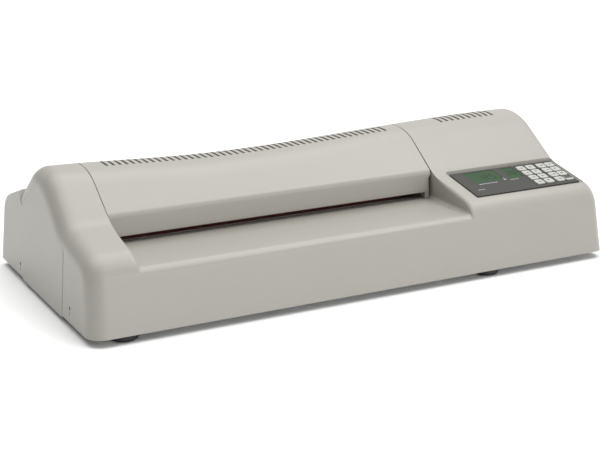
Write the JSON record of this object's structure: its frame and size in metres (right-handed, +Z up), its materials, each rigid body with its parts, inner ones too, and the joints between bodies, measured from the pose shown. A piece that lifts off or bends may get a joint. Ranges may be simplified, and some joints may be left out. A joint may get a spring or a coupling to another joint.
{
  "type": "pouch laminator",
  "caption": "Table-top pouch laminator: moulded housings, slotted centre cover, entry tray, sloped control panel, and a geared heat and pull roller train inside.",
  "frame": {"origin": "on the table plane, under the middle of the machine's bounding box", "axes": "+X along the length towards the control panel, +Y from the entry tray to the rear, +Z up"},
  "size_m": [0.544, 0.262, 0.1238],
  "materials": {
    "housing": "fine textured warm grey ABS",
    "cover": "fine textured warm grey ABS",
    "label": "dark grey printed overlay",
    "lens": "smoked green window",
    "keycap": "light grey keycap",
    "board": "green solder mask",
    "iron": "varnished laminations",
    "ribbon": "grey ribbon",
    "steel": "zinc plated sheet",
    "shaft": "ground steel",
    "silicone": "red silicone sleeve",
    "gear": "natural acetal",
    "bush": "dark filled nylon",
    "spring": "spring steel",
    "aluminium": "extruded aluminium",
    "motor": "zinc plated can",
    "black": "black nylon",
    "rubber": "black rubber",
    "screw": "zinc plated screws"
  },
  "bodies": {
    "chassis": {"base_plate": "steel", "front_housing": "housing", "centre_cover": "cover", "rear_housing": "housing", "control_panel": "label", "display_lenses": "lens", "control_board": "board", "power_board": "board", "transformer": "iron", "ribbon_cable": "ribbon", "side_frame_left": "steel", "side_frame_right": "steel", "idler_stud": "shaft", "gear_motor": "motor", "lower_bushes": "bush", "heat_springs": "spring", "pull_springs": "spring", "upper_heat_plate": "aluminium", "lower_heat_plate": "aluminium", "fan_frame": "black", "rubber_feet": "rubber", "housing_screws": "screw", "frame_screws": "screw", "power_switch_frame": "black", "mains_inlet": "black"},
    "key_r1c1": {"key_r1c1": "keycap"},
    "key_r1c2": {"key_r1c2": "keycap"},
    "key_r1c3": {"key_r1c3": "keycap"},
    "key_r1c4": {"key_r1c4": "keycap"},
    "key_r2c1": {"key_r2c1": "keycap"},
    "key_r2c2": {"key_r2c2": "keycap"},
    "key_r2c3": {"key_r2c3": "keycap"},
    "key_r2c4": {"key_r2c4": "keycap"},
    "key_r3c1": {"key_r3c1": "keycap"},
    "key_r3c2": {"key_r3c2": "keycap"},
    "key_r3c3": {"key_r3c3": "keycap"},
    "key_r3c4": {"key_r3c4": "keycap"},
    "key_r4c1": {"key_r4c1": "keycap"},
    "key_r4c2": {"key_r4c2": "keycap"},
    "key_r4c3": {"key_r4c3": "keycap"},
    "key_r4c4": {"key_r4c4": "keycap"},
    "heat_carrier": {"heat_upper_bushes": "bush"},
    "pull_carrier": {"pull_upper_bushes": "bush"},
    "heat_lower_roller": {"heat_roller_lower_core": "shaft", "heat_roller_lower_sleeve": "silicone", "heat_roller_lower_gear": "gear"},
    "heat_upper_roller": {"heat_roller_upper_core": "shaft", "heat_roller_upper_sleeve": "silicone", "heat_roller_upper_gear": "gear"},
    "pull_lower_roller": {"pull_roller_lower_core": "shaft", "pull_roller_lower_sleeve": "silicone", "pull_roller_lower_gear": "gear"},
    "pull_upper_roller": {"pull_roller_upper_core": "shaft", "pull_roller_upper_sleeve": "silicone", "pull_roller_upper_gear": "gear"},
    "idler": {"idler_gear": "gear"},
    "pinion": {"motor_pinion": "gear"},
    "fan": {"fan_rotor": "black"},
    "rocker": {"power_rocker": "black"}
  },
  "joints": [
    {"name": "key_r1c1_press", "type": "slide", "parent": "chassis", "child": "key_r1c1", "axis": [0, -0.1989, 0.98], "range_m": [-0.0008, 0], "stiffness_N_per_m": 400, "springref_m": 0.001},
    {"name": "key_r1c2_press", "type": "slide", "parent": "chassis", "child": "key_r1c2", "axis": [0, -0.1989, 0.98], "range_m": [-0.0008, 0], "stiffness_N_per_m": 400, "springref_m": 0.001},
    {"name": "key_r1c3_press", "type": "slide", "parent": "chassis", "child": "key_r1c3", "axis": [0, -0.1989, 0.98], "range_m": [-0.0008, 0], "stiffness_N_per_m": 400, "springref_m": 0.001},
    {"name": "key_r1c4_press", "type": "slide", "parent": "chassis", "child": "key_r1c4", "axis": [0, -0.1989, 0.98], "range_m": [-0.0008, 0], "stiffness_N_per_m": 400, "springref_m": 0.001},
    {"name": "key_r2c1_press", "type": "slide", "parent": "chassis", "child": "key_r2c1", "axis": [0, -0.1989, 0.98], "range_m": [-0.0008, 0], "stiffness_N_per_m": 400, "springref_m": 0.001},
    {"name": "key_r2c2_press", "type": "slide", "parent": "chassis", "child": "key_r2c2", "axis": [0, -0.1989, 0.98], "range_m": [-0.0008, 0], "stiffness_N_per_m": 400, "springref_m": 0.001},
    {"name": "key_r2c3_press", "type": "slide", "parent": "chassis", "child": "key_r2c3", "axis": [0, -0.1989, 0.98], "range_m": [-0.0008, 0], "stiffness_N_per_m": 400, "springref_m": 0.001},
    {"name": "key_r2c4_press", "type": "slide", "parent": "chassis", "child": "key_r2c4", "axis": [0, -0.1989, 0.98], "range_m": [-0.0008, 0], "stiffness_N_per_m": 400, "springref_m": 0.001},
    {"name": "key_r3c1_press", "type": "slide", "parent": "chassis", "child": "key_r3c1", "axis": [0, -0.1989, 0.98], "range_m": [-0.0008, 0], "stiffness_N_per_m": 400, "springref_m": 0.001},
    {"name": "key_r3c2_press", "type": "slide", "parent": "chassis", "child": "key_r3c2", "axis": [0, -0.1989, 0.98], "range_m": [-0.0008, 0], "stiffness_N_per_m": 400, "springref_m": 0.001},
    {"name": "key_r3c3_press", "type": "slide", "parent": "chassis", "child": "key_r3c3", "axis": [0, -0.1989, 0.98], "range_m": [-0.0008, 0], "stiffness_N_per_m": 400, "springref_m": 0.001},
    {"name": "key_r3c4_press", "type": "slide", "parent": "chassis", "child": "key_r3c4", "axis": [0, -0.1989, 0.98], "range_m": [-0.0008, 0], "stiffness_N_per_m": 400, "springref_m": 0.001},
    {"name": "key_r4c1_press", "type": "slide", "parent": "chassis", "child": "key_r4c1", "axis": [0, -0.1989, 0.98], "range_m": [-0.0008, 0], "stiffness_N_per_m": 400, "springref_m": 0.001},
    {"name": "key_r4c2_press", "type": "slide", "parent": "chassis", "child": "key_r4c2", "axis": [0, -0.1989, 0.98], "range_m": [-0.0008, 0], "stiffness_N_per_m": 400, "springref_m": 0.001},
    {"name": "key_r4c3_press", "type": "slide", "parent": "chassis", "child": "key_r4c3", "axis": [0, -0.1989, 0.98], "range_m": [-0.0008, 0], "stiffness_N_per_m": 400, "springref_m": 0.001},
    {"name": "key_r4c4_press", "type": "slide", "parent": "chassis", "child": "key_r4c4", "axis": [0, -0.1989, 0.98], "range_m": [-0.0008, 0], "stiffness_N_per_m": 400, "springref_m": 0.001},
    {"name": "heat_lift", "type": "slide", "parent": "chassis", "child": "heat_carrier", "axis": [0, 0, 1], "range_m": [0, 0.0008], "stiffness_N_per_m": 8000, "springref_m": -0.002, "deforming": ["heat_springs"]},
    {"name": "pull_lift", "type": "slide", "parent": "chassis", "child": "pull_carrier", "axis": [0, 0, 1], "range_m": [0, 0.0008], "stiffness_N_per_m": 8000, "springref_m": -0.002, "deforming": ["pull_springs"]},
    {"name": "heat_lower_spin", "type": "hinge", "parent": "chassis", "child": "heat_lower_roller", "pos_m": [-0.052, -0.006, 0.0493], "axis": [1, 0, 0], "continuous": true},
    {"name": "heat_upper_spin", "type": "hinge", "parent": "heat_carrier", "child": "heat_upper_roller", "pos_m": [-0.052, -0.006, 0.0793], "axis": [1, 0, 0], "continuous": true},
    {"name": "pull_lower_spin", "type": "hinge", "parent": "chassis", "child": "pull_lower_roller", "pos_m": [-0.052, 0.046, 0.0493], "axis": [1, 0, 0], "continuous": true},
    {"name": "pull_upper_spin", "type": "hinge", "parent": "pull_carrier", "child": "pull_upper_roller", "pos_m": [-0.052, 0.046, 0.0793], "axis": [1, 0, 0], "continuous": true},
    {"name": "idler_spin", "type": "hinge", "parent": "chassis", "child": "idler", "pos_m": [0.118, 0.02, 0.03433], "axis": [1, 0, 0], "continuous": true},
    {"name": "pinion_spin", "type": "hinge", "parent": "chassis", "child": "pinion", "pos_m": [0.118, 0.06873, 0.03617], "axis": [1, 0, 0], "continuous": true},
    {"name": "fan_spin", "type": "hinge", "parent": "chassis", "child": "fan", "pos_m": [-0.242, 0.114, 0.034], "axis": [0, 1, 0], "continuous": true},
    {"name": "rocker_tilt", "type": "hinge", "parent": "chassis", "child": "rocker", "pos_m": [0.2, 0.127, 0.035], "axis": [1, 0, 0], "range_deg": [-14, 0]}
  ],
  "couplings": [
    {"joint": "heat_upper_spin", "follows": "heat_lower_spin", "ratio": -1},
    {"joint": "idler_spin", "follows": "heat_lower_spin", "ratio": -1},
    {"joint": "pull_lower_spin", "follows": "heat_lower_spin", "ratio": 1},
    {"joint": "pull_upper_spin", "follows": "heat_lower_spin", "ratio": -1},
    {"joint": "pinion_spin", "follows": "heat_lower_spin", "ratio": -1.3333}
  ]
}
